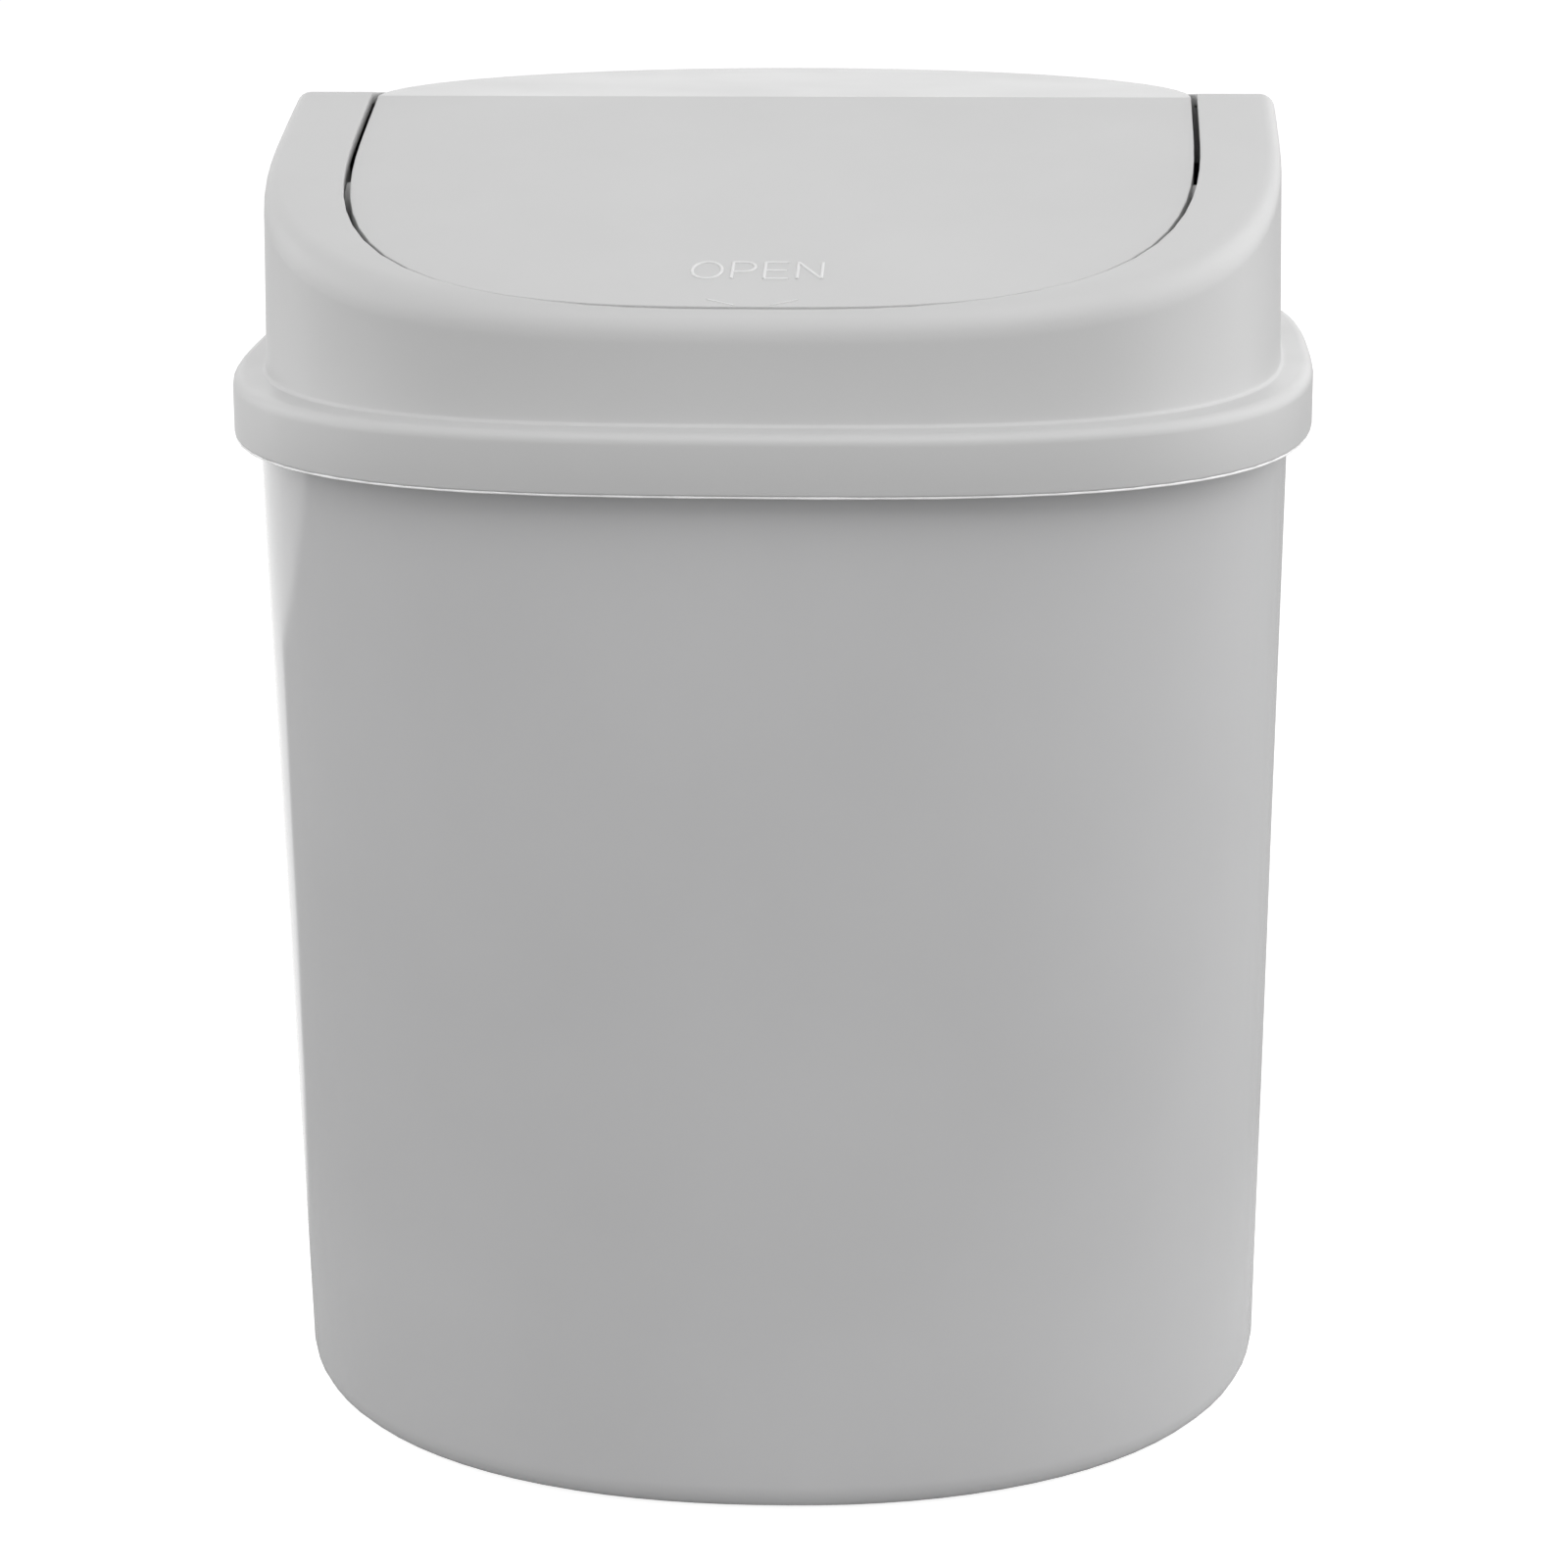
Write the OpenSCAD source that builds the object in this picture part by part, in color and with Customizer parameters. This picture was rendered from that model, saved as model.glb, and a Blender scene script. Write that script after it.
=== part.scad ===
// Countertop waste bin with a lift-off hood and a push flap.
// Millimetres. X runs to the right, Y to the back, Z up, and the bin stands on z = 0.
// The flap is drawn closed and the hood seated on the pail.

/* [Piece] */
// Piece to build

/* [Outline] */
// Half width over the hood's lower band, the widest part
band_half = 70; // [69.5:0.1:72]
// Depth divided by width, shared by every outline
depth_ratio = 0.961; // [0.94:0.005:1]
// Squareness of the hood and of the pail's rim, 2 is an ellipse
rim_power = 3; // [2.8:0.1:3.2]

/* [Pail] */
// Clearance between the rolled rim and the inside of the band
skirt_clear = 0.7; // [0.5:0.1:0.9]
// Half width of the pail at its foot, before the edge radius
foot_half = 65.5; // [60:0.5:66.5]
// Squareness of the pail at its foot
foot_power = 2.2; // [2:0.1:3]
// Height of the pail's rim
pail_h = 139; // [137:0.5:141]
// Wall of the pail
pail_wall = 1.5; // [1.2:0.1:2]
// Radius between the wall and the underside
foot_round = 4; // [3:0.5:6]
// Depth of the recess under the floor
foot_rise = 1.6; // [1:0.1:2.5]
// Width of the flat ring the bin stands on
foot_ring = 4; // [3:0.5:6]
// How far the rolled rim stands out from the wall
bead_out = 0.5; // [0.3:0.1:0.6]
// Height of the rolled rim
bead_h = 4.6; // [3.5:0.1:5]

/* [Hood] */
// Height of the hood's lower band
band_h = 7.8; // [7:0.1:9]
// Wall of the band
band_wall = 1.8; // [1.6:0.1:1.9]
// Wall of the collar and the roof
hood_wall = 1.6; // [1.4:0.1:1.8]
// Width of the step between the band and the collar
step_w = 4.2; // [4:0.1:4.6]
// Height of the collar's front edge above the step, where slope and wall planes meet
collar_front = 13.8; // [12:0.1:15]
// Rise of the front slope in degrees
slope_deg = 13.75; // [13:0.25:14.5]
// Fall of the roof behind the crest in degrees
fall_deg = 7; // [6.5:0.25:7.5]
// Distance of the crest behind the middle
crest_y = 9; // [7:0.5:11]
// Edge radius at the front and back of the roof
front_round = 5; // [4:0.25:5.5]
// Edge radius of the cheeks beside the crest
cheek_round = 2; // [1.8:0.1:3]
// Length of the cheeks' tight edge on each side of the crest
cheek_len = 20; // [10:1:24]
// Inward lean of the collar wall in degrees
collar_lean = 1.15; // [0.8:0.05:1.3]

/* [Flap] */
// Width of the cheek on each side of the flap
cheek_w = 11.7; // [11.2:0.1:12.3]
// Width of the border in front of the flap
front_border = 3.1; // [3:0.1:4.2]
// Width of the border behind the flap
rear_border = 8.2; // [7.2:0.1:10]
// Squareness of the push panel's front corners
panel_power = 3.1; // [3:0.1:3.6]
// Fall of the rear wing in degrees
wing_deg = 1.5; // [1:0.25:2]
// Gap around the flap
seam = 0.8; // [0.6:0.05:0.9]
// How far the push panel lies below the cheeks
flap_sink = 0.5; // [0.3:0.1:0.8]
// Wall of the flap
flap_wall = 1.6; // [1.4:0.1:1.8]
// Depth of the turned-down edge of the push panel
lip_h = 3.2; // [2.8:0.1:4]

/* [Pivot] */
// Distance of the pivot in front of the middle
pivot_front = 17; // [15:0.5:18]
// Height of the pivot above the step
pivot_up = 19.2; // [18.2:0.2:19.6]
// Radius of the stub pins
pin_r = 2.5; // [2:0.1:2.8]
// Radial clearance of a pin in its socket
pin_clear = 0.08; // [0.04:0.01:0.1]
// Wall of the sockets along the pins
socket_wall = 3; // [2.5:0.1:3.5]
// Wall of the ears that carry the pins
ear_wall = 1.8; // [1.6:0.1:2.2]

/* [Seat] */
// Clearance of the locating ribs around the rolled rim
seat_clear = 0.3; // [0.25:0.05:0.4]
// Distance of the locating ribs from the middle of each side
rib_place = 24; // [18:1:28]
// Height of the ledge the rear wing rests on above the step
ledge_up = 23.2; // [22.7:0.1:23.4]
// Width of the ledge
ledge_w = 2.2; // [1.8:0.1:3]
// Free height between the closed wing and its ledge
rest_gap = 0.05; // [0.02:0.01:0.1]

/* [Hidden] */
half_steps = 48;
arc_steps = 5;
pail_c = [0.67, 0.68, 0.69];
hood_c = [0.72, 0.72, 0.72];
flap_c = [0.79, 0.79, 0.79];
band_z = pail_h + hood_wall + 0.2 - band_h;
shelf_z = band_z + band_h;
rim_half = band_half - band_wall - skirt_clear - bead_out;
collar_half = band_half - step_w;
collar_deep = collar_half * depth_ratio;
front_z = shelf_z + collar_front;
front_tan = tan(slope_deg);
rear_tan = tan(fall_deg);
crest_z = front_z + (crest_y + collar_deep) * front_tan;
ridge_z = crest_z - flap_sink;
floor_z = foot_rise + pail_wall;
flap_half = collar_half - cheek_w;
panel_reach = collar_deep - front_border;
wing_reach = collar_deep - crest_y - rear_border;
open_half = flap_half + seam;
socket_x = open_half + 0.1;
pivot_z = shelf_z + pivot_up;
ledge_z = shelf_z + ledge_up;
rest_z = ledge_z + rest_gap;
ear_h = 12;

// ---------- outlines ----------

// Turn of point i round a ring: one point is kept on the crest line
function crest_turn() = atan(crest_y / (collar_half - 0.4));
function plain_turn(i) = -90 + 180 * i / half_steps;
function right_turn(i) = abs(plain_turn(i) - crest_turn()) < 90 / half_steps ? crest_turn() : plain_turn(i);
function turn(i) = i <= half_steps ? right_turn(i) : 180 - right_turn(2 * half_steps - i);

// Point of a rounded-square oval at polar angle t
function oval_r(a, b, n, t) = pow(pow(abs(cos(t)) / a, n) + pow(abs(sin(t)) / b, n), -1 / n);
function oval_pt(a, b, n, t) = oval_r(a, b, n, t) * [cos(t), sin(t)];

// Half width of an oval at distance v from its middle
function oval_side(a, b, n, v) = a * pow(1 - pow(abs(v) / b, n), 1 / n);

// Level ring of an oval with half width a
function ring(a, n, z) = [
    for (i = [0 : 2 * half_steps - 1])
        let (p = oval_pt(a, a * depth_ratio, n, turn(i)))
        [p[0], p[1], z]
];

// ---------- closed skin over a list of rings ----------

module skin(rings) {
    n = 2 * half_steps;
    last = (len(rings) - 1) * n;
    sides = [
        for (r = [0 : len(rings) - 2], j = [0 : n - 1])
            let (a = r * n + j, b = r * n + (j + 1) % n)
            each [[a, b + n, b], [a, a + n, b + n]]
    ];
    under = [
        for (i = [0 : half_steps - 1])
            i == 0 ? [0, 1, n - 1]
            : i == half_steps - 1 ? [i, i + 1, n - i]
            : [i, i + 1, n - i - 1, n - i]
    ];
    top = [for (f = under) [for (k = [len(f) - 1 : -1 : 0]) f[k] + last]];
    polyhedron(points = [for (r = rings) each r], faces = concat(sides, under, top));
}

// ---------- pail ----------

// Ring of the pail's wall at height z, moved in by d
function pail_ring(z, d) =
    let (f = z / pail_h)
    ring(foot_half + (rim_half - foot_half) * f - d, foot_power + (rim_power - foot_power) * f, z);

foot_in = foot_round + foot_ring;
bead_z = pail_h - bead_h;
wall_levels = [for (k = [1 : 5]) pail_h * k / 6];
inner_round = 3;

pail_under = [
    pail_ring(foot_rise, foot_in + 1.4),
    pail_ring(foot_rise - 0.3, foot_in + 0.8),
    pail_ring(0.2, foot_in + 0.2),
    pail_ring(0, foot_in)
];
pail_edge = [
    for (k = [0 : arc_steps])
        let (t = 90 * k / arc_steps)
        pail_ring(foot_round * (1 - cos(t)), foot_round * (1 - sin(t)))
];
pail_outside = [for (z = wall_levels) pail_ring(z, 0)];
pail_rim = [
    pail_ring(bead_z, 0),
    pail_ring(bead_z + 0.5, -bead_out),
    pail_ring(pail_h - 0.5, -bead_out),
    pail_ring(pail_h, -bead_out + 0.5),
    pail_ring(pail_h, pail_wall - 0.4),
    pail_ring(pail_h - 0.4, pail_wall)
];
pail_inside = [for (k = [len(wall_levels) - 1 : -1 : 0]) pail_ring(wall_levels[k], pail_wall)];
pail_floor = [
    for (k = [0 : arc_steps])
        let (t = 90 * k / arc_steps)
        pail_ring(floor_z + inner_round * (1 - sin(t)), pail_wall + inner_round * (1 - cos(t)))
];

module bin_body() {
    color(pail_c)
    skin(concat(pail_under, pail_edge, pail_outside, pail_rim, pail_inside, pail_floor));
}

// ---------- hood ----------

// Roof height: a front slope up to the crest and a gentle fall behind it
function roof(y) = min(front_z + (y + collar_deep) * front_tan, crest_z - (y - crest_y) * rear_tan);
function roof_tan(y) = y < crest_y ? front_tan : -rear_tan;

// Edge radius, small beside the crest and large at front and back
function ease(t) = let (u = min(max(t, 0), 1)) u * u * (3 - 2 * u);
function edge_far(y) = (y < crest_y ? collar_deep + crest_y : collar_deep - crest_y) - cheek_len;
function edge_share(y) = ease((abs(y - crest_y) - cheek_len) / edge_far(y));
function edge_round(y) = cheek_round + (front_round - cheek_round) * edge_share(y);

// Outward direction of the collar at point i
function collar_out(p) =
    let (
        gx = sign(p[0]) * pow(abs(p[0]) / collar_half, rim_power - 1) / collar_half,
        gy = sign(p[1]) * pow(abs(p[1]) / collar_deep, rim_power - 1) / collar_deep
    )
    [gx, gy] / norm([gx, gy]);

// Collar wall at height z, moved in by w
function collar_ring(z, w) = [
    for (i = [0 : 2 * half_steps - 1])
        let (
            p = oval_pt(collar_half, collar_deep, rim_power, turn(i)),
            q = p - collar_out(p) * (w + (z - shelf_z) * tan(collar_lean))
        )
        [q[0], q[1], z]
];

// Ring s of the rounded edge between collar wall and roof, s from 0 to 1, moved in by w
function edge_ring(s, w) = [
    for (i = [0 : 2 * half_steps - 1])
        let (
            p = oval_pt(collar_half, collar_deep, rim_power, turn(i)),
            out = collar_out(p),
            full = edge_round(p[1]),
            r = max(full - w, 0.4),
            lean_in = (roof(p[1]) - full - shelf_z) * tan(collar_lean),
            wall = p - out * (w + lean_in),
            g = roof_tan(p[1]) * out[1],
            top = roof(p[1]) - g * (w + lean_in) - w * sqrt(1 + g * g),
            mid = top - g * r - r * sqrt(1 + g * g),
            t = s * atan2(1, -g),
            q = wall - out * r * (1 - cos(t))
        )
        [q[0], q[1], mid + r * sin(t)]
];

band_in = band_half - band_wall;
band_round = 1.5;
step_round = 0.8;

hood_inside = concat(
    [for (k = [arc_steps : -1 : 0]) edge_ring(k / arc_steps, hood_wall)],
    [collar_ring(pail_h, hood_wall)],
    [ring(band_in, rim_power, pail_h)],
    [ring(band_in, rim_power, band_z)]
);
hood_band = concat(
    [ring(band_half - 0.4, rim_power, band_z), ring(band_half, rim_power, band_z + 0.4)],
    [
        for (k = [0 : arc_steps - 1])
            let (t = 90 * k / (arc_steps - 1))
            ring(band_half - band_round * (1 - cos(t)), rim_power, shelf_z - band_round * (1 - sin(t)))
    ]
);
hood_step = [
    for (k = [0 : 3])
        let (t = 30 * k)
        collar_ring(shelf_z + step_round * (1 - cos(t)), -step_round * (1 - sin(t)))
];
hood_outside = [for (k = [0 : arc_steps]) edge_ring(k / arc_steps, 0)];

// Everything under the roof's mid surface, as a bar across the hood
module under_roof(low, sink) {
    far = collar_deep;
    rotate([90, 0, 90])
    linear_extrude(height = 2 * collar_half, center = true)
    polygon([
        [-far, low],
        [far, low],
        [far, roof(far) - sink],
        [crest_y, crest_z - sink],
        [-far, roof(-far) - sink]
    ]);
}

// Plan of the flap grown by g: rounded front corners, half an ellipse behind the crest
module flap_plan(g) {
    front = [
        for (k = [0 : 40])
            oval_pt(flap_half + g, panel_reach + g, panel_power, 180 + 4.5 * k)
    ];
    rear = [
        for (k = [0 : 40])
            [(flap_half + g) * cos(4.5 * k), crest_y + (wing_reach + g) * sin(4.5 * k)]
    ];
    polygon(concat(front, rear));
}

// Upright column of the flap's plan grown by g, from height low to above the crest
module flap_column(g, low) {
    translate([0, 0, low])
    linear_extrude(height = crest_z)
    flap_plan(g);
}

// Socket plate and its two webs under one cheek, right-hand side
module socket() {
    r = pin_r + 3.2;
    web = 1.2;
    intersection() {
        under_roof(pivot_z - 10, hood_wall / 2);
        union() {
            translate([socket_x, 0, 0])
            rotate([90, 0, 90])
            linear_extrude(height = socket_wall)
            union() {
                translate([-pivot_front, pivot_z])
                circle(r = r, $fn = 64);
                translate([-pivot_front - r, pivot_z])
                square([2 * r, ear_h]);
            }
            for (s = [-1, 1])
            translate([socket_x + socket_wall - 0.5, -pivot_front + s * (r - web / 2) - web / 2, pivot_z - 1])
            cube([
                oval_side(collar_half, collar_deep, rim_power, pivot_front + r) - hood_wall
                    - socket_x - socket_wall + 0.5,
                web,
                ear_h
            ]);
        }
    }
}

// Ledge behind the crest that the closed wing comes down on
module rest_ledge() {
    thick = 1.4;
    start = crest_y + 4;
    intersection() {
        under_roof(ledge_z - thick, hood_wall / 2);
        translate([-collar_half, start, ledge_z - thick])
        cube([2 * collar_half, collar_deep, ear_h]);
        difference() {
            flap_column(seam + hood_wall, ledge_z - thick);
            flap_column(seam, ledge_z);
            flap_column(-ledge_w, ledge_z - 2 * thick);
        }
    }
}

// Locating rib on the right side of the skirt at distance v from the middle
module seat_rib(a_in, b_in, a_out, b_out, v) {
    inner = oval_side(a_in, b_in, rim_power, v) + seat_clear;
    outer = oval_side(a_out, b_out, rim_power, v) + band_wall / 2;
    translate([inner, v - 0.6, band_z + 0.8])
    cube([outer - inner, 1.2, pail_h - band_z]);
}

module seat_ribs() {
    a1 = rim_half + bead_out;
    b1 = a1 * depth_ratio;
    b2 = band_in * depth_ratio;
    for (s = [-1, 1])
    for (m = [0, 1]) {
        mirror([m, 0, 0])
        seat_rib(a1, b1, band_in, b2, s * rib_place);
        rotate(90 + 180 * m)
        seat_rib(b1, a1, b2, band_in, s * rib_place);
    }
}

module lid_frame() {
    color(hood_c)
    difference() {
        union() {
            difference() {
                skin(concat(hood_inside, hood_band, hood_step, hood_outside));
                flap_column(seam, front_z - front_round - 1);
            }
            seat_ribs();
            rest_ledge();
            for (m = [0, 1])
            mirror([m, 0, 0])
            socket();
        }
        for (s = [-1, 1])
        translate([s * (socket_x + socket_wall / 2), -pivot_front, pivot_z])
        rotate([0, 90, 0])
        cylinder(r = pin_r + pin_clear, h = socket_wall + 1, center = true, $fn = 64);
    }
}

// ---------- flap ----------

// Flap skin seen from the side, moved down by d, open downwards to the line low
function panel_z(y) = ridge_z - (crest_y - y) * front_tan;
function wing_z(y) = ridge_z - (y - crest_y) * tan(wing_deg);

module flap_side(d, low) {
    rotate([90, 0, 90])
    linear_extrude(height = 2 * open_half, center = true)
    polygon(concat(
        low,
        [[band_half, wing_z(band_half) - d], [crest_y, ridge_z - d], [-band_half, panel_z(-band_half) - d]]
    ));
}

// Level lower line, well under the flap
level_line = [[-band_half, band_z], [band_half, band_z]];

// Lower line of the turned-down edge: along the slope in front, level behind
lip_line = [
    [-band_half, panel_z(-band_half) - lip_h],
    [-pivot_front - 5, panel_z(-pivot_front - 5) - lip_h],
    [-pivot_front + 9, rest_z],
    [band_half, rest_z]
];

// Ear that carries a pin, right-hand side
module ear() {
    r = pin_r + 2.3;
    intersection() {
        flap_side(flap_wall / 2, level_line);
        flap_column(0, band_z);
        translate([flap_half - 0.1 - ear_wall, 0, 0])
        rotate([90, 0, 90])
        linear_extrude(height = ear_wall)
        union() {
            translate([-pivot_front, pivot_z])
            circle(r = r, $fn = 64);
            polygon([
                [-pivot_front - r, pivot_z],
                [-pivot_front + r, pivot_z],
                [-pivot_front + r + 5, pivot_z + ear_h],
                [-pivot_front - r - 5, pivot_z + ear_h]
            ]);
        }
    }
}

// Stub pin with a shoulder and a lead-in at its tip, right-hand side
module stub_pin() {
    lead = 0.6;
    reach = socket_x + socket_wall - 0.3 - flap_half + ear_wall;
    translate([flap_half - ear_wall, -pivot_front, pivot_z])
    rotate([0, 90, 0]) {
        cylinder(r = pin_r, h = reach - lead, $fn = 64);
        translate([0, 0, reach - lead])
        cylinder(r1 = pin_r, r2 = pin_r - lead, h = lead, $fn = 64);
        cylinder(r = pin_r + 1.2, h = ear_wall + 0.4, $fn = 64);
    }
}

// Stiffening ribs under the push panel and the wing
module flap_ribs() {
    rib = 1.2;
    intersection() {
        flap_side(flap_wall / 2, lip_line);
        flap_column(-flap_wall / 2, band_z);
        union() {
            for (s = [-0.5, 0, 0.5])
            translate([s * flap_half - rib / 2, -panel_reach, band_z])
            cube([rib, panel_reach + crest_y + 0.8 * wing_reach, crest_z]);
            translate([-flap_half, crest_y - rib / 2, band_z])
            cube([2 * flap_half, rib, crest_z]);
        }
    }
}

module swing_flap() {
    color(flap_c)
    union() {
        difference() {
            intersection() {
                flap_side(0, lip_line);
                flap_column(0, band_z);
            }
            intersection() {
                flap_side(flap_wall, level_line);
                flap_column(-flap_wall, band_z);
            }
        }
        flap_ribs();
        for (m = [0, 1])
        mirror([m, 0, 0]) {
            ear();
            stub_pin();
        }
    }
}

bin_body();
lid_frame();
swing_flap();
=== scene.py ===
"""Countertop waste bin: finishes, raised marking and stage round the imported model."""

import math

import bpy
from bpy.props import FloatProperty, FloatVectorProperty, PointerProperty
from mathutils import Matrix, Vector
from mathutils.noise import noise as wander


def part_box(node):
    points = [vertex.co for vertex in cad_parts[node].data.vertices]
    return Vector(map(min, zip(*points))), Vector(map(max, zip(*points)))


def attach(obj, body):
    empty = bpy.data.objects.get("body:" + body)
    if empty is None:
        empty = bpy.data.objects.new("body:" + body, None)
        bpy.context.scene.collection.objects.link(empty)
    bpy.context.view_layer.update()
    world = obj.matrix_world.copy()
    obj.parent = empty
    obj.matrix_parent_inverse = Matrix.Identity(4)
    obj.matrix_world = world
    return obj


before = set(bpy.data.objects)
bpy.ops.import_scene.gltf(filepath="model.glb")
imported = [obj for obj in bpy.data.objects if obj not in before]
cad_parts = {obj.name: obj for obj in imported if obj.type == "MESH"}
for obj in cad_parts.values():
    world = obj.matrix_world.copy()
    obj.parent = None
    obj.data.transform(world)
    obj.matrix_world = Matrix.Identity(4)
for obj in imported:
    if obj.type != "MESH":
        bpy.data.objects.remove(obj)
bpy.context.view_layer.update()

bl_info = {
    "name": "Countertop waste bin",
    "version": (1, 0, 0),
    "blender": (4, 5, 0),
    "location": "3D View > Sidebar > Waste bin",
    "description": "Finishes a small waste bin with a hood and a push flap",
    "category": "Object",
}

MM = 0.001
WHITE = (1.0, 1.0, 1.0, 1.0)

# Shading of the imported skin: gap that is welded, reach of the crest line, and sharpest smooth folds
WELD_GAP = 0.002 * MM
CREST_REACH = 0.4 * MM
CREST_FOLD = math.radians(8)
OTHER_FOLD = math.radians(24)

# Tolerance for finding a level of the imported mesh, and fewest points of a whole outline
LEVEL_GAP = 0.02 * MM
FEWEST_POINTS = 24

# Wander of the flash in features a metre: lumps and grit in its size, waves in its height
FLASH_LUMPS, FLASH_GRIT, FLASH_WAVES = 260.0, 900.0, 150.0
FLASH_MOST = 1.4

# What the lamps and the camera look at
MIDDLE = (0.0, 0.0, 0.09)

# Lamps: name, place, width, height and the setting that holds the power
LAMPS = (
    ("Top lamp", (0.08, -0.37, 0.66), 0.6, 0.6, "top_power"),
    ("Rear lamp", (0.0, 1.0, 0.4), 1.2, 0.4, "rear_power"),
    ("Front lamp", (0.15, -1.2, 0.2), 0.8, 0.8, "front_power"),
    ("Left lamp", (-0.8, 0.02, 0.3), 1.1, 0.9, "left_power"),
    ("Right lamp", (0.78, 0.13, 0.42), 1.1, 0.9, "right_power"),
)

# Distance from the bin's middle over which the floor's tone goes from near to far
FLOOR_FADE = (0.08, 0.13)

# White board on the floor: its edges as slope and offset, the softness of its edges,
# how far its side fades round the middle, and what the rest of the floor shows in gloss
BOARD_NEAR = (1.23, 0.06)
BOARD_FAR = (-0.65, -0.51)
BOARD_SOFT = 0.008
BOARD_SIDE = 0.02
BOARD_REST = 0.15

FLAP_LOW, FLAP_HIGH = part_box("swing_flap")
HOOD_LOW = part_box("lid_frame")[0]


# ---------------------------------------------------------------- settings


class PlasticSettings(bpy.types.PropertyGroup):
    """Colours and gloss of the three mouldings."""

    pail_colour: FloatVectorProperty(
        name="Pail colour",
        description="Base colour of the pail",
        subtype="COLOR",
        size=4,
        default=(0.55, 0.55, 0.555, 1.0),
    )
    hood_colour: FloatVectorProperty(
        name="Hood colour",
        description="Base colour of the hood",
        subtype="COLOR",
        size=4,
        default=(0.507, 0.507, 0.507, 1.0),
    )
    flap_colour: FloatVectorProperty(
        name="Flap colour",
        description="Base colour of the push flap",
        subtype="COLOR",
        size=4,
        default=(0.50, 0.50, 0.50, 1.0),
    )
    # Paler than the flap: a painted highlight on the raised strokes.
    marking_highlight_colour: FloatVectorProperty(
        name="Marking highlight colour",
        description="Base colour of the raised strokes, paler as a painted highlight",
        subtype="COLOR",
        size=4,
        default=(0.66, 0.66, 0.66, 1.0),
    )
    pail_roughness: FloatProperty(
        name="Pail roughness",
        description="Middle roughness of the smooth pail",
        default=0.12,
        min=0.05,
        max=1.0,
    )
    hood_roughness: FloatProperty(
        name="Hood roughness",
        description="Middle roughness of the satin hood and flap",
        default=0.42,
        min=0.05,
        max=1.0,
    )
    # Paler edges: partly from handling, partly a painted highlight.
    edge_wear_and_highlight: FloatProperty(
        name="Edge rubbing and highlight",
        description="How much paler edges are, partly from handling, partly as painted highlight",
        default=0.12,
        min=0.0,
        max=1.0,
        subtype="FACTOR",
    )
    soft_edge: FloatProperty(
        name="Soft edge",
        description="Radius that catches the light on moulded edges",
        default=0.35 * MM,
        min=0.0,
        unit="LENGTH",
    )


class MarkingSettings(bpy.types.PropertyGroup):
    """Raised word and chevron on the push panel."""

    letter_height: FloatProperty(
        name="Letter height",
        description="Height of the capitals along the slope",
        default=5.1 * MM,
        unit="LENGTH",
    )
    word_width: FloatProperty(
        name="Word width",
        description="Width of the whole word",
        default=15.8 * MM,
        unit="LENGTH",
    )
    word_low: FloatProperty(
        name="Word height on panel",
        description="Distance of the word's lower line from the panel's front edge",
        default=8.65 * MM,
        unit="LENGTH",
    )
    middle: FloatProperty(
        name="Sideways place",
        description="Distance of the word's middle to the right of the bin's middle",
        default=0.35 * MM,
        unit="LENGTH",
    )
    stroke: FloatProperty(
        name="Stroke",
        description="Width of the raised strokes",
        default=0.42 * MM,
        unit="LENGTH",
    )
    relief: FloatProperty(
        name="Relief",
        description="Height of the strokes above the panel",
        default=0.14 * MM,
        unit="LENGTH",
    )
    chevron_width: FloatProperty(
        name="Chevron width",
        description="Width over the chevron's two arms",
        default=10.9 * MM,
        unit="LENGTH",
    )
    chevron_gap: FloatProperty(
        name="Chevron gap",
        description="Free width between the lower ends of the two arms",
        default=4.4 * MM,
        unit="LENGTH",
    )
    chevron_height: FloatProperty(
        name="Chevron height",
        description="Height of the chevron along the slope",
        default=1.77 * MM,
        unit="LENGTH",
    )
    chevron_low: FloatProperty(
        name="Chevron height on panel",
        description="Distance of the chevron's lower ends from the panel's front edge",
        default=0.5 * MM,
        unit="LENGTH",
    )
    chevron_relief: FloatProperty(
        name="Chevron relief",
        description="Height of the chevron above the panel, worn almost flat",
        default=0.05 * MM,
        unit="LENGTH",
    )
    slope: FloatProperty(
        name="Panel slope",
        description="Slope of the push panel",
        default=math.radians(13.75),
        subtype="ANGLE",
    )


class FlashSettings(bpy.types.PropertyGroup):
    """Rough bead of moulding flash along the lower edge of the hood's band, painted near white as a
    highlight.
    """

    thickness: FloatProperty(
        name="Flash thickness",
        description="Radius of the bead",
        default=0.17 * MM,
        unit="LENGTH",
    )
    unevenness: FloatProperty(
        name="Unevenness",
        description="How far the bead's size and height wander",
        default=0.3,
        min=0.0,
        max=0.9,
        subtype="FACTOR",
    )
    inset: FloatProperty(
        name="Inset",
        description="Distance of the bead's middle from the band's outermost line",
        default=0.24 * MM,
        unit="LENGTH",
    )
    drop: FloatProperty(
        name="Drop",
        description="Distance of the bead's middle below the band's outermost line",
        default=0.24 * MM,
        unit="LENGTH",
    )
    chamfer: FloatProperty(
        name="Chamfer",
        description="Height of the chamfer under the band",
        default=0.4 * MM,
        unit="LENGTH",
    )
    # Near white: a painted highlight along the band's lower edge, carried by the bead.
    colour: FloatVectorProperty(
        name="Flash highlight colour",
        description="Base colour of the bead, near white as a painted highlight",
        subtype="COLOR",
        size=4,
        default=(0.97, 0.97, 0.97, 1.0),
    )


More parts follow.
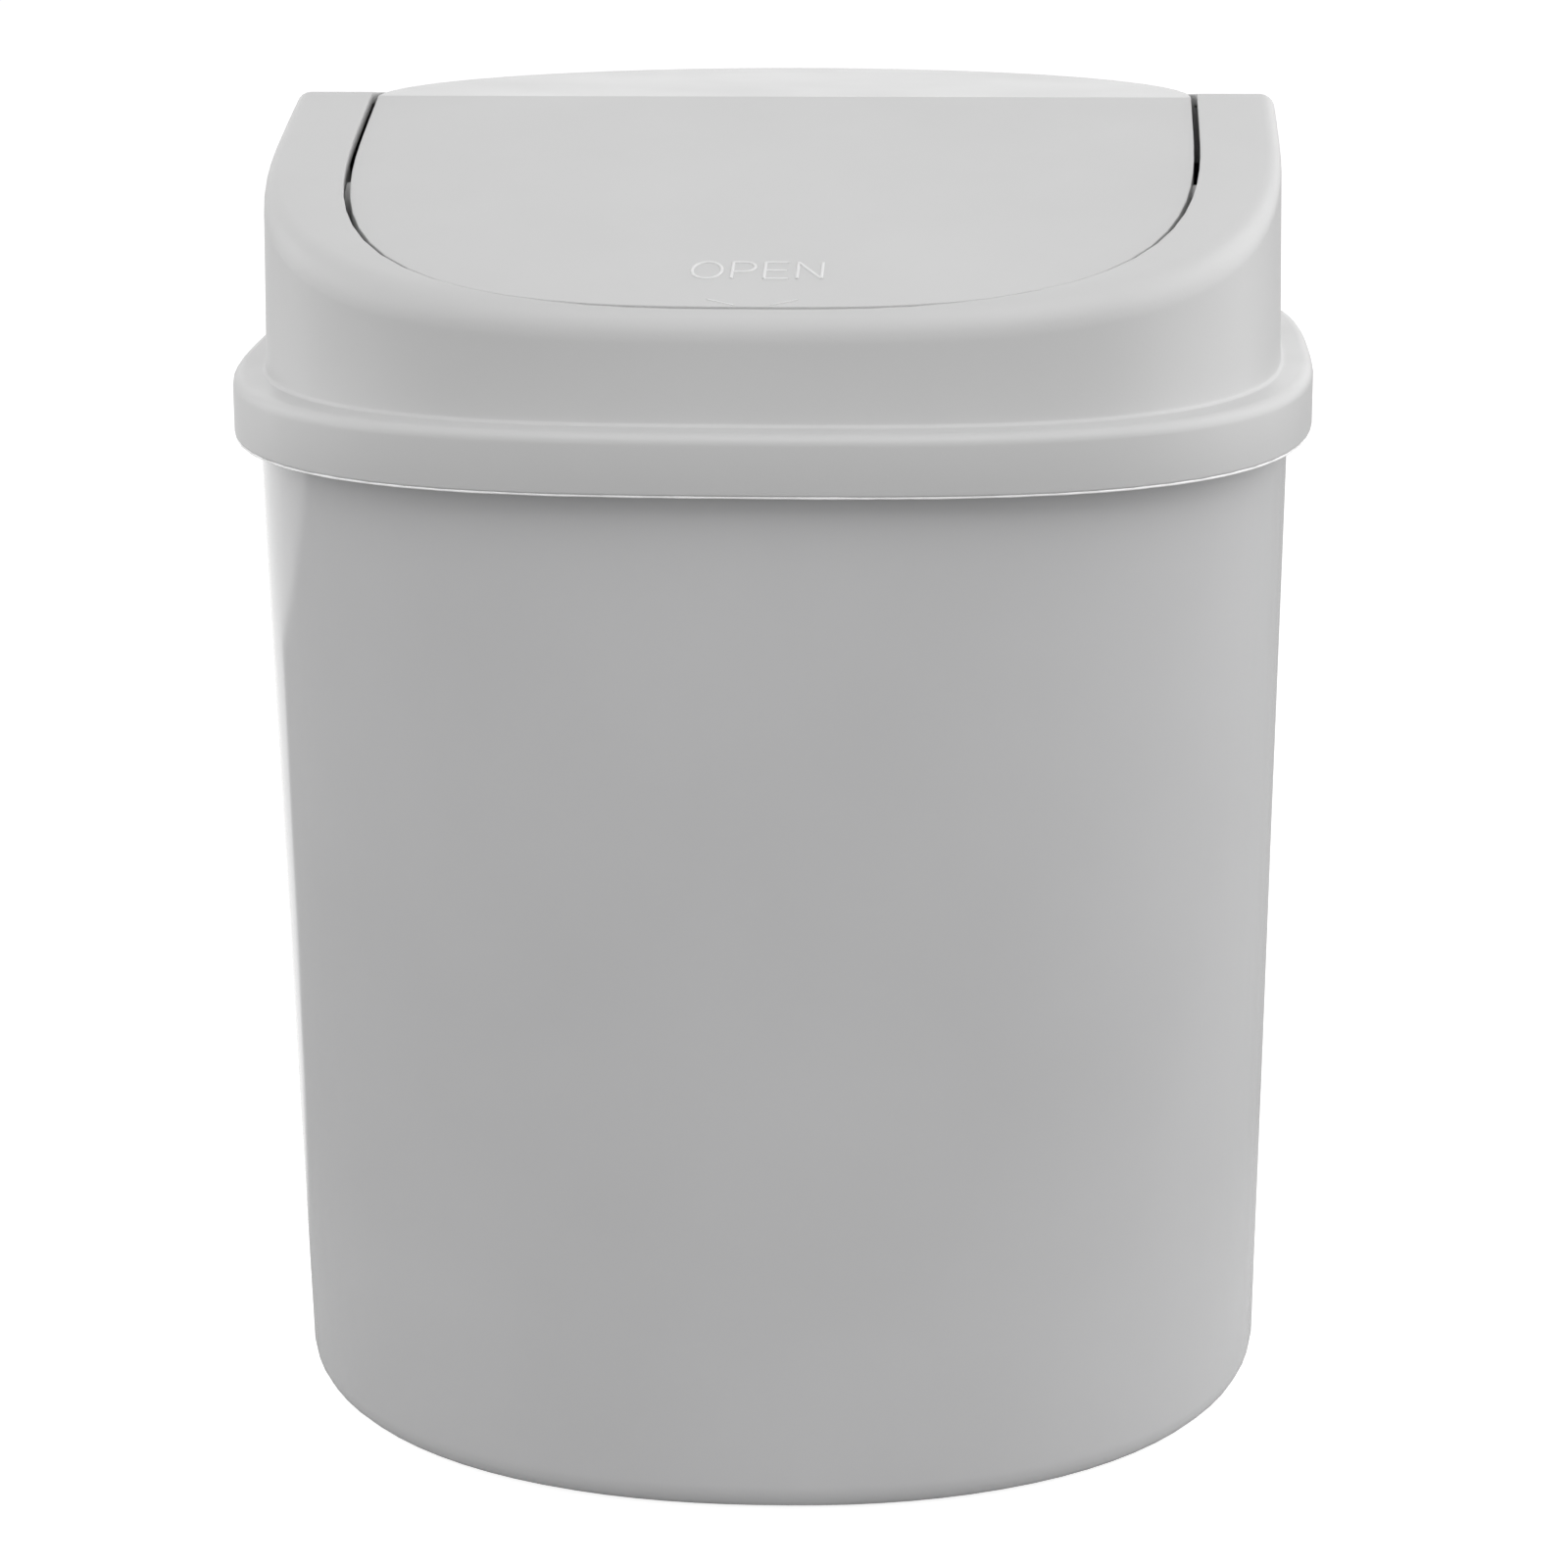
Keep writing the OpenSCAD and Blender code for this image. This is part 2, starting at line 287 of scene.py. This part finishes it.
class StageSettings(bpy.types.PropertyGroup):
    """Camera, floor and lamps."""

    distance: FloatProperty(
        name="Camera distance",
        description="Distance of the camera from the middle of the bin",
        default=0.6,
        unit="LENGTH",
    )
    turn: FloatProperty(
        name="Camera turn",
        description="How far the camera stands to the right",
        default=math.radians(3.51),
        subtype="ANGLE",
    )
    rise: FloatProperty(
        name="Camera rise",
        description="How far the camera looks down",
        default=math.radians(14.43),
        subtype="ANGLE",
    )
    roll: FloatProperty(
        name="Camera roll",
        description="Roll of the camera",
        default=math.radians(-0.27),
        subtype="ANGLE",
    )
    aim_up: FloatProperty(
        name="Aim up",
        description="How far the view is tipped up or down from the middle",
        default=math.radians(-0.97),
        subtype="ANGLE",
    )
    aim_side: FloatProperty(
        name="Aim sideways",
        description="How far the view is turned to the right of the middle",
        default=math.radians(0.03),
        subtype="ANGLE",
    )
    lens: FloatProperty(
        name="Lens",
        description="Focal length for a 36 mm wide square frame, in millimetres",
        default=101.35,
    )
    floor_size: FloatProperty(
        name="Floor",
        description="Side of the floor",
        default=8.0,
        unit="LENGTH",
    )
    floor_near: FloatProperty(
        name="Floor tone near",
        description="How much light the floor throws back close to the bin",
        default=0.5,
        min=0.0,
        max=1.0,
        subtype="FACTOR",
    )
    floor_far: FloatProperty(
        name="Floor tone far",
        description="How much light the floor throws back away from the bin",
        default=0.36,
        min=0.0,
        max=1.0,
        subtype="FACTOR",
    )
    floor_lift: FloatProperty(
        name="Floor lift",
        description="Light added to the floor where it is seen, so that it stays white",
        default=0.86,
        min=0.0,
    )
    sky: FloatProperty(
        name="Sky",
        description="Strength of the even light from all around",
        default=0.5,
        min=0.0,
    )
    top_power: FloatProperty(
        name="Top lamp",
        description="Power of the soft lamp above and a little in front, in watts",
        default=2.0,
        min=0.0,
    )
    front_power: FloatProperty(
        name="Front lamp",
        description="Power of the weak soft lamp in front, in watts",
        default=1.25,
        min=0.0,
    )
    rear_power: FloatProperty(
        name="Rear lamp",
        description="Power of the low soft lamp behind, in watts",
        default=0.9,
        min=0.0,
    )
    left_power: FloatProperty(
        name="Left lamp",
        description="Power of the soft lamp on the left, in watts",
        default=3.5,
        min=0.0,
    )
    right_power: FloatProperty(
        name="Right lamp",
        description="Power of the soft lamp on the right, in watts",
        default=5.2,
        min=0.0,
    )


# ---------------------------------------------------------------- node helpers


def link(tree, a, b):
    tree.links.new(a, b)


def noise(tree, coords, scale, detail, rough=0.5):
    """Noise over the object's own coordinates; scale is in features a metre."""
    node = tree.nodes.new("ShaderNodeTexNoise")
    node.inputs["Scale"].default_value = scale
    node.inputs["Detail"].default_value = detail
    node.inputs["Roughness"].default_value = rough
    link(tree, coords, node.inputs["Vector"])
    return node.outputs["Fac"]


def maths(tree, operation, *values):
    """Maths node on up to three values, each a socket or a number."""
    node = tree.nodes.new("ShaderNodeMath")
    node.operation = operation
    for value, socket in zip(values, node.inputs):
        if isinstance(value, (int, float)):
            socket.default_value = value
        else:
            link(tree, value, socket)
    return node.outputs["Value"]


def ramp(tree, value, start, end, low, high, clamp=True):
    """Straight ramp from low at start to high at end, flat beyond them if clamped."""
    node = tree.nodes.new("ShaderNodeMapRange")
    node.clamp = clamp
    node.inputs["From Min"].default_value = start
    node.inputs["From Max"].default_value = end
    node.inputs["To Min"].default_value = low
    node.inputs["To Max"].default_value = high
    link(tree, value, node.inputs["Value"])
    return node.outputs["Result"]


def spread(tree, value, low, high):
    """Noise around 0.5 spread over about low to high, without flat ends."""
    return ramp(tree, value, 0.25, 0.75, low, high, clamp=False)


def mixed(tree, factor, first, second):
    """Colour from the first to the second as factor goes from 0 to 1; both may be sockets."""
    node = tree.nodes.new("ShaderNodeMix")
    node.data_type = "RGBA"
    link(tree, factor, node.inputs["Factor"])
    for name, colour in (("A", first), ("B", second)):
        if isinstance(colour, tuple):
            node.inputs[name].default_value = colour
        else:
            link(tree, colour, node.inputs[name])
    return node.outputs["Result"]


def stretched(tree, coords, factors):
    """Coordinates scaled by the factors, so that noise on them is drawn out."""
    node = tree.nodes.new("ShaderNodeVectorMath")
    node.operation = "MULTIPLY"
    node.inputs[1].default_value = factors
    link(tree, coords, node.inputs[0])
    return node.outputs["Vector"]


def bump(tree, height, distance, normal):
    """Normal bent by a height of the given depth, in metres."""
    node = tree.nodes.new("ShaderNodeBump")
    node.inputs["Distance"].default_value = distance
    node.inputs["Strength"].default_value = 0.35
    link(tree, height, node.inputs["Height"])
    link(tree, normal, node.inputs["Normal"])
    return node.outputs["Normal"]


def edge_catch(tree, radius):
    """Rounded normal at sharp edges, and a mask that is 1 on them."""
    bevel = tree.nodes.new("ShaderNodeBevel")
    bevel.samples = 6
    bevel.inputs["Radius"].default_value = radius
    plain = tree.nodes.new("ShaderNodeNewGeometry")
    dot = tree.nodes.new("ShaderNodeVectorMath")
    dot.operation = "DOT_PRODUCT"
    link(tree, bevel.outputs["Normal"], dot.inputs[0])
    link(tree, plain.outputs["Normal"], dot.inputs[1])
    mask = ramp(tree, dot.outputs["Value"], 0.998, 0.93, 0.0, 1.0)
    return bevel.outputs["Normal"], mask


def brighter(colour, factor):
    """Colour times the factor, none of its parts over 1."""
    return tuple(min(1.0, c * factor) for c in colour[:3]) + (1.0,)


def moulded_plastic(name, colour, roughness, grain, flow, settings):
    """Injection-moulded plastic: cloudy colour, faint flow lines, fine skin, edges paler from
    handling and as a painted highlight.

    grain is the depth of the fine skin texture and flow that of the flow lines, in metres.
    """
    mat = bpy.data.materials.new(name)
    mat.use_nodes = True
    tree = mat.node_tree
    shader = tree.nodes["Principled BSDF"]
    coords = tree.nodes.new("ShaderNodeTexCoord").outputs["Object"]

    clouds = spread(tree, noise(tree, coords, 28.0, 3.0), 0.0, 1.0)
    tint = mixed(tree, clouds, brighter(colour, 0.975), brighter(colour, 1.025))

    rounded, mask = edge_catch(tree, settings.soft_edge)
    patchy = noise(tree, coords, 160.0, 4.0, 0.6)
    edge_wear_and_highlight = spread(tree, patchy, 0.3 * settings.edge_wear_and_highlight, 1.7 * settings.edge_wear_and_highlight)
    # Edges are painted paler: partly handling, partly a painted highlight along them.
    rubbed_and_highlit = maths(tree, "MULTIPLY", mask, edge_wear_and_highlight)
    worn = mixed(tree, rubbed_and_highlit, tint, brighter(colour, 1.6))
    link(tree, worn, shader.inputs["Base Color"])

    smears = noise(tree, stretched(tree, coords, (1.0, 1.0, 0.35)), 60.0, 4.0, 0.55)
    gloss = spread(tree, smears, roughness - 0.04, roughness + 0.05)
    link(tree, gloss, shader.inputs["Roughness"])

    lines = noise(tree, stretched(tree, coords, (1.0, 1.0, 0.2)), 45.0, 2.0)
    skin = noise(tree, coords, 2600.0, 2.0)
    flowing = bump(tree, lines, flow, rounded)
    link(tree, bump(tree, skin, grain, flowing), shader.inputs["Normal"])
    return mat


# ---------------------------------------------------------------- mesh helpers


def crest_y():
    """Where the flap is highest: the crest line."""
    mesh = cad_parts["swing_flap"].data
    top = max(v.co.z for v in mesh.vertices)
    crest = [v.co.y for v in mesh.vertices if v.co.z > top - 0.01 * MM]
    return sum(crest) / len(crest)


def shade_smooth_node(tree, domain, smooth):
    node = tree.nodes.new("GeometryNodeSetShadeSmooth")
    node.domain = domain
    node.inputs["Shade Smooth"].default_value = smooth
    return node


def smooth_skin_group():
    """Modifier group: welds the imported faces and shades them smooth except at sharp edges.

    The crest is kept sharp too, although its fold is shallower than the steps of the
    rounded edges.
    """
    tree = bpy.data.node_groups.new("Smooth moulded skin", "GeometryNodeTree")
    tree.interface.new_socket("Geometry", in_out="INPUT", socket_type="NodeSocketGeometry")
    tree.interface.new_socket("Geometry", in_out="OUTPUT", socket_type="NodeSocketGeometry")
    start = tree.nodes.new("NodeGroupInput")
    end = tree.nodes.new("NodeGroupOutput")
    weld = tree.nodes.new("GeometryNodeMergeByDistance")
    weld.inputs["Distance"].default_value = WELD_GAP
    strip = tree.nodes.new("GeometryNodeRemoveAttribute")
    strip.inputs["Name"].default_value = "custom_normal"
    faces = shade_smooth_node(tree, "FACE", True)
    edges = shade_smooth_node(tree, "EDGE", False)
    angle = tree.nodes.new("GeometryNodeInputMeshEdgeAngle").outputs["Unsigned Angle"]
    place = tree.nodes.new("ShaderNodeSeparateXYZ")
    position = tree.nodes.new("GeometryNodeInputPosition").outputs["Position"]
    link(tree, position, place.inputs["Vector"])
    off = maths(tree, "ABSOLUTE", maths(tree, "SUBTRACT", place.outputs["Y"], crest_y()))
    on_crest = maths(tree, "LESS_THAN", off, CREST_REACH)
    folded = maths(tree, "GREATER_THAN", angle, CREST_FOLD)
    crest = maths(tree, "MULTIPLY", on_crest, folded)
    sharp = maths(tree, "MAXIMUM", crest, maths(tree, "GREATER_THAN", angle, OTHER_FOLD))
    link(tree, sharp, edges.inputs["Selection"])
    chain = (start, weld, strip, faces, edges, end)
    for before, after in zip(chain, chain[1:]):
        link(tree, before.outputs["Geometry"], after.inputs["Geometry"])
    return tree


def dress_node(node, material):
    """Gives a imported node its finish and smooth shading, without touching its mesh."""
    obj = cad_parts[node]
    obj.data.materials.clear()
    obj.data.materials.append(material)
    group = bpy.data.node_groups.get("Smooth moulded skin") or smooth_skin_group()
    obj.modifiers.new("Smooth skin", "NODES").node_group = group
    return obj


def add_object(name, data):
    obj = bpy.data.objects.new(name, data)
    bpy.context.scene.collection.objects.link(obj)
    return obj


def stroke_curve(name, lines, radius, squash, place, material):
    """Raised strokes: each line is (points, closed) in the panel's plane, squash flattens them."""
    data = bpy.data.curves.new(name, "CURVE")
    data.dimensions = "3D"
    data.bevel_depth = radius
    data.bevel_resolution = 3
    data.use_fill_caps = True
    for points, closed in lines:
        spline = data.splines.new("POLY")
        spline.points.add(len(points) - 1)
        for target, point in zip(spline.points, points):
            target.co = (point[0], point[1], 0.0, 1.0)
        spline.use_cyclic_u = closed
    curve = add_object(name + "_path", data)
    bpy.context.view_layer.update()
    scene_graph = bpy.context.evaluated_depsgraph_get()
    mesh = bpy.data.meshes.new_from_object(curve.evaluated_get(scene_graph))
    bpy.data.objects.remove(curve)
    mesh.name = name
    mesh.transform(Matrix.Diagonal((1.0, 1.0, squash, 1.0)))
    mesh.transform(place)
    mesh.materials.clear()
    mesh.materials.append(material)
    mesh.shade_smooth()
    return add_object(name, mesh)


# ---------------------------------------------------------------- marking shapes


def arc(cx, cy, rx, ry, start, end, steps):
    """Points of an ellipse's arc, angles in degrees."""
    turn = [math.radians(start + (end - start) * k / steps) for k in range(steps + 1)]
    return [(cx + rx * math.cos(t), cy + ry * math.sin(t)) for t in turn]


def letter_o(x, width, height):
    ring = arc(x + width / 2, height / 2, width / 2, height / 2, 0, 360, 40)
    return [(ring[:-1], True)]


def letter_p(x, width, height):
    bowl = height * 0.29
    middle = height - bowl
    top = [(x, height), (x + width - bowl * 0.9, height)]
    round_end = arc(x + width - bowl * 0.9, middle, bowl * 0.9, bowl, 90, -90, 14)[1:]
    back = [(x, height - 2 * bowl)]
    return [([(x, 0.0), (x, height)], False), (top + round_end + back, False)]


def letter_e(x, width, height):
    arms = [(1.0, 0.0), (0.92, 0.5), (1.0, 1.0)]
    lines = [([(x, 0.0), (x, height)], False)]
    for reach, level in arms:
        lines.append(([(x, level * height), (x + reach * width, level * height)], False))
    return lines


def letter_n(x, width, height):
    corners = [(x, 0.0), (x, height), (x + width, 0.0), (x + width, height)]
    return [([corners[k], corners[k + 1]], False) for k in range(3)]


def word_lines(width, height):
    """The word in plain monoline capitals, centred on x = 0 with its foot on y = 0."""
    letters = [
        (letter_o, 0.0, 0.231),
        (letter_p, 0.31, 0.174),
        (letter_e, 0.56, 0.184),
        (letter_n, 0.813, 0.187),
    ]
    lines = []
    for draw, start, share in letters:
        lines += draw((start - 0.5) * width, share * width, height)
    return lines


def chevron_lines(width, gap, height):
    """Two arms of a shallow open chevron that points down the slope."""
    arms = [[(side * width / 2, height), (side * gap / 2, 0.0)] for side in (-1, 1)]
    return [(arm, False) for arm in arms]


def panel_place(marking, up):
    """Matrix from the panel's own plane to the bin; up is the distance from its front edge."""
    crest = Vector((0.0, crest_y(), FLAP_HIGH.z))
    reach = (crest.y - FLAP_LOW.y) / math.cos(marking.slope)
    turn = Matrix.Rotation(marking.slope, 4, "X")
    return (
        Matrix.Translation(crest)
        @ turn
        @ Matrix.Translation((marking.middle, up - reach, 0.0))
    )


# ---------------------------------------------------------------- flash


def band_line(flash):
    """Outermost line of the band, just above its lower chamfer, in order round the hood."""
    level = HOOD_LOW.z + flash.chamfer
    found = {}
    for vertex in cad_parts["lid_frame"].data.vertices:
        if abs(vertex.co.z - level) < LEVEL_GAP:
            turn = math.atan2(vertex.co.y, vertex.co.x)
            found[round(turn, 4)] = Vector((vertex.co.x, vertex.co.y, level))
    if len(found) < FEWEST_POINTS:
        raise RuntimeError("the band's lower edge wasn't found in lid_frame")
    return [found[turn] for turn in sorted(found)]


def smooth_loop(points, steps):
    """Closed curve through the points, with steps pieces between two of them."""
    loop = []
    count = len(points)
    for k in range(count):
        a, b, c, d = (points[(k + i) % count] for i in (-1, 0, 1, 2))
        for j in range(steps):
            t = j / steps
            loop.append(
                0.5
                * (
                    2 * b
                    + (c - a) * t
                    + (2 * a - 5 * b + 4 * c - d) * t * t
                    + (3 * b - a - 3 * c + d) * t * t * t
                )
            )
    return loop


def flash_bead(flash, material):
    """Thin bead whose size and height wander, half sunk in the chamfer under the band."""
    loop = smooth_loop(band_line(flash), 8)
    sides = 8
    corners = []
    for point in loop:
        out = Vector((point.x, point.y, 0.0)).normalized()
        lumps = wander(point * FLASH_LUMPS) + 0.4 * wander(point * FLASH_GRIT)
        radius = flash.thickness * min(1.0 + flash.unevenness * lumps, FLASH_MOST)
        waves = 0.6 * flash.unevenness * flash.thickness * wander(point * FLASH_WAVES)
        middle = point - out * flash.inset
        middle.z -= flash.drop + waves
        for k in range(sides):
            turn = 2 * math.pi * k / sides
            rise = Vector((0.0, 0.0, radius * math.sin(turn)))
            corners.append(middle + out * radius * math.cos(turn) + rise)
    count = len(loop)
    faces = [
        (
            i * sides + k,
            i * sides + (k + 1) % sides,
            (i + 1) % count * sides + (k + 1) % sides,
            (i + 1) % count * sides + k,
        )
        for i in range(count)
        for k in range(sides)
    ]
    mesh = bpy.data.meshes.new("band_flash")
    mesh.from_pydata(corners, [], faces)
    mesh.materials.append(material)
    mesh.shade_smooth()
    mesh.update()
    return add_object("band_flash", mesh)


# ---------------------------------------------------------------- operators


class WASTEBIN_OT_pail(bpy.types.Operator):
    """Give the pail its smooth, slightly glossy plastic"""

    bl_idname = "wastebin.pail"
    bl_label = "Finish pail"

    def execute(self, context):
        plastic = context.scene.wastebin_plastic
        finish = moulded_plastic(
            "Pail plastic",
            plastic.pail_colour,
            plastic.pail_roughness,
            0.01 * MM,
            0.5 * MM,
            plastic,
        )
        dress_node("bin_body", finish)
        return {"FINISHED"}


class WASTEBIN_OT_hood(bpy.types.Operator):
    """Give the hood its satin plastic"""

    bl_idname = "wastebin.hood"
    bl_label = "Finish hood"

    def execute(self, context):
        plastic = context.scene.wastebin_plastic
        finish = moulded_plastic(
            "Hood plastic",
            plastic.hood_colour,
            plastic.hood_roughness,
            0.02 * MM,
            0.25 * MM,
            plastic,
        )
        dress_node("lid_frame", finish)
        return {"FINISHED"}


class WASTEBIN_OT_flap(bpy.types.Operator):
    """Give the push flap its satin plastic"""

    bl_idname = "wastebin.flap"
    bl_label = "Finish flap"

    def execute(self, context):
        plastic = context.scene.wastebin_plastic
        finish = moulded_plastic(
            "Flap plastic",
            plastic.flap_colour,
            plastic.hood_roughness,
            0.02 * MM,
            0.2 * MM,
            plastic,
        )
        dress_node("swing_flap", finish)
        return {"FINISHED"}


class WASTEBIN_OT_marking(bpy.types.Operator):
    """Raise the word and the chevron on the push panel, in a paler colour that is a painted highlight
    """

    bl_idname = "wastebin.marking"
    bl_label = "Raise marking"

    def execute(self, context):
        marking = context.scene.wastebin_marking
        plastic = context.scene.wastebin_plastic
        # The strokes' paler colour is a painted highlight.
        finish = moulded_plastic(
            "Rubbed marking plastic",
            plastic.marking_highlight_colour,
            plastic.hood_roughness,
            0.01 * MM,
            0.05 * MM,
            plastic,
        )
        radius = marking.stroke / 2
        word = stroke_curve(
            "raised_word",
            word_lines(marking.word_width, marking.letter_height),
            radius,
            marking.relief / radius,
            panel_place(marking, marking.word_low),
            finish,
        )
        chevron = stroke_curve(
            "raised_chevron",
            chevron_lines(marking.chevron_width, marking.chevron_gap, marking.chevron_height),
            radius,
            marking.chevron_relief / radius,
            panel_place(marking, marking.chevron_low),
            finish,
        )
        for piece in (word, chevron):
            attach(piece, "swing_flap")
        return {"FINISHED"}


class WASTEBIN_OT_flash(bpy.types.Operator):
    """Run the rough bead of flash, painted near white as a highlight, along the band's lower edge"""

    bl_idname = "wastebin.flash"
    bl_label = "Leave flash"

    def execute(self, context):
        flash = context.scene.wastebin_flash
        # The bead's near-white colour is a painted highlight along the band's lower edge.
        finish = moulded_plastic(
            "Flash plastic",
            flash.colour,
            0.5,
            0.02 * MM,
            0.05 * MM,
            context.scene.wastebin_plastic,
        )
        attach(flash_bead(flash, finish), "lid_frame")
        return {"FINISHED"}


class WASTEBIN_OT_stage(bpy.types.Operator):
    """Set the floor, the soft light and the camera"""

    bl_idname = "wastebin.stage"
    bl_label = "Set stage"

    def execute(self, context):
        stage = context.scene.wastebin_stage
        make_floor(stage)
        make_light(context.scene, stage)
        make_camera(context.scene, stage)
        context.scene.view_settings.view_transform = "Standard"
        return {"FINISHED"}


# ---------------------------------------------------------------- stage


def seen_directly(tree, mirrored=None):
    """1 for rays from the camera and for rays that come by a reflection or through glass.

    mirrored, where given, is how strongly the place shows in reflections.
    """
    path = tree.nodes.new("ShaderNodeLightPath")
    glossy = path.outputs["Is Glossy Ray"]
    if mirrored is not None:
        glossy = maths(tree, "MULTIPLY", glossy, mirrored)
    camera, glass = path.outputs["Is Camera Ray"], path.outputs["Is Transmission Ray"]
    return maths(tree, "MAXIMUM", maths(tree, "MAXIMUM", camera, glass), glossy)


def white_board(tree, coords):
    """How strongly the floor shows in gloss: 1 on a white board that lies behind on the left.

    Its two front edges meet in a corner; the one near the bin runs back and outwards, the
    far one comes forward again. The rest of the floor shows only faintly.
    """
    place = tree.nodes.new("ShaderNodeSeparateXYZ")
    link(tree, coords, place.inputs["Vector"])
    x, y = place.outputs["X"], place.outputs["Y"]
    edges = [
        maths(tree, "ADD", maths(tree, "MULTIPLY_ADD", x, slope, y), offset)
        for slope, offset in (BOARD_NEAR, BOARD_FAR)
    ]
    inside = ramp(tree, maths(tree, "MAXIMUM", *edges), -BOARD_SOFT, BOARD_SOFT, BOARD_REST, 1.0)
    left = ramp(tree, x, BOARD_SIDE, -BOARD_SIDE, 0.0, 1.0)
    return maths(tree, "MAXIMUM", maths(tree, "MULTIPLY", inside, left), BOARD_REST)


def make_floor(stage):
    """Pale matt floor that is seen as white but throws back only a part of the light."""
    half = stage.floor_size / 2
    mesh = bpy.data.meshes.new("floor")
    corners = [(-half, -half, 0.0), (half, -half, 0.0), (half, half, 0.0), (-half, half, 0.0)]
    mesh.from_pydata(corners, [], [(0, 1, 2, 3)])
    floor = add_object("floor", mesh)
    mat = bpy.data.materials.new("Pale floor")
    mat.use_nodes = True
    tree = mat.node_tree
    tree.nodes.remove(tree.nodes["Principled BSDF"])
    coords = tree.nodes.new("ShaderNodeTexCoord").outputs["Object"]
    away = tree.nodes.new("ShaderNodeVectorMath")
    away.operation = "LENGTH"
    link(tree, coords, away.inputs[0])
    paper = tree.nodes.new("ShaderNodeBsdfDiffuse")
    tone = ramp(tree, away.outputs["Value"], *FLOOR_FADE, stage.floor_near, stage.floor_far)
    link(tree, tone, paper.inputs["Color"])
    glow = tree.nodes.new("ShaderNodeEmission")
    glow.inputs["Color"].default_value = WHITE
    seen = seen_directly(tree, white_board(tree, coords))
    link(tree, maths(tree, "MULTIPLY", seen, stage.floor_lift), glow.inputs["Strength"])
    both = tree.nodes.new("ShaderNodeAddShader")
    link(tree, paper.outputs["BSDF"], both.inputs[0])
    link(tree, glow.outputs["Emission"], both.inputs[1])
    link(tree, both.outputs["Shader"], tree.nodes["Material Output"].inputs["Surface"])
    mesh.materials.append(mat)


def area_lamp(name, place, width, height, power):
    """Rectangular lamp that looks at the bin's middle."""
    data = bpy.data.lights.new(name, "AREA")
    data.shape = "RECTANGLE"
    data.size = width
    data.size_y = height
    data.energy = power
    lamp = add_object(name, data)
    lamp.location = place
    lamp.rotation_euler = (Vector(MIDDLE) - Vector(place)).to_track_quat("-Z", "Y").to_euler()


def make_light(scene, stage):
    """Even light from the world, seen as white, and the lamps."""
    world = bpy.data.worlds.new("Soft studio")
    scene.world = world
    world.use_nodes = True
    tree = world.node_tree
    even = tree.nodes["Background"]
    even.inputs["Color"].default_value = WHITE
    even.inputs["Strength"].default_value = stage.sky
    plain = tree.nodes.new("ShaderNodeBackground")
    plain.inputs["Color"].default_value = WHITE
    plain.inputs["Strength"].default_value = 1.0
    mix = tree.nodes.new("ShaderNodeMixShader")
    link(tree, seen_directly(tree), mix.inputs["Fac"])
    link(tree, even.outputs["Background"], mix.inputs[1])
    link(tree, plain.outputs["Background"], mix.inputs[2])
    link(tree, mix.outputs["Shader"], tree.nodes["World Output"].inputs["Surface"])
    for name, place, width, height, power in LAMPS:
        area_lamp(name, place, width, height, getattr(stage, power))


def make_camera(scene, stage):
    """Looks at the middle of the bin from in front and above, tipped by the aim."""
    back = Vector(
        (
            math.sin(stage.turn) * math.cos(stage.rise),
            -math.cos(stage.turn) * math.cos(stage.rise),
            math.sin(stage.rise),
        )
    )
    ahead = -back
    side = Vector((math.cos(stage.turn), math.sin(stage.turn), 0.0))
    ahead = ahead + side * math.tan(stage.aim_side) + side.cross(ahead) * math.tan(stage.aim_up)
    ahead.normalize()
    right = ahead.cross(Vector((0.0, 0.0, 1.0))).normalized()
    up = right.cross(ahead)
    rolled_right = right * math.cos(stage.roll) + up * math.sin(stage.roll)
    rolled_up = up * math.cos(stage.roll) - right * math.sin(stage.roll)
    data = bpy.data.cameras.new("Camera")
    data.lens = stage.lens
    data.sensor_fit = "HORIZONTAL"
    data.sensor_width = 36.0
    camera = add_object("Camera", data)
    turn = Matrix((rolled_right, rolled_up, -ahead)).transposed()
    place = Vector(MIDDLE) + back * stage.distance
    camera.matrix_world = Matrix.Translation(place) @ turn.to_4x4()
    scene.camera = camera


# ---------------------------------------------------------------- panel


class WASTEBIN_PT_panel(bpy.types.Panel):
    """Lists the steps that finish the bin"""

    bl_label = "Waste bin"
    bl_idname = "WASTEBIN_PT_panel"
    bl_space_type = "VIEW_3D"
    bl_region_type = "UI"
    bl_category = "Waste bin"

    def draw(self, context):
        for step in STEPS:
            self.layout.operator(step.bl_idname)
        for group in GROUPS:
            settings = getattr(context.scene, group)
            box = self.layout.box()
            for name in settings.__annotations__:
                box.prop(settings, name)


STEPS = (
    WASTEBIN_OT_pail,
    WASTEBIN_OT_hood,
    WASTEBIN_OT_flap,
    WASTEBIN_OT_marking,
    WASTEBIN_OT_flash,
    WASTEBIN_OT_stage,
)
GROUPS = {
    "wastebin_plastic": PlasticSettings,
    "wastebin_marking": MarkingSettings,
    "wastebin_flash": FlashSettings,
    "wastebin_stage": StageSettings,
}
CLASSES = (*GROUPS.values(), *STEPS, WASTEBIN_PT_panel)


def register():
    for cls in CLASSES:
        bpy.utils.register_class(cls)
    for name, group in GROUPS.items():
        setattr(bpy.types.Scene, name, PointerProperty(type=group))


def unregister():
    for name in GROUPS:
        delattr(bpy.types.Scene, name)
    for cls in reversed(CLASSES):
        bpy.utils.unregister_class(cls)


def main():
    register()
    bpy.ops.wastebin.pail()
    bpy.ops.wastebin.hood()
    bpy.ops.wastebin.flap()
    bpy.ops.wastebin.marking()
    bpy.ops.wastebin.flash()
    bpy.ops.wastebin.stage()


if __name__ == "__main__":
    main()
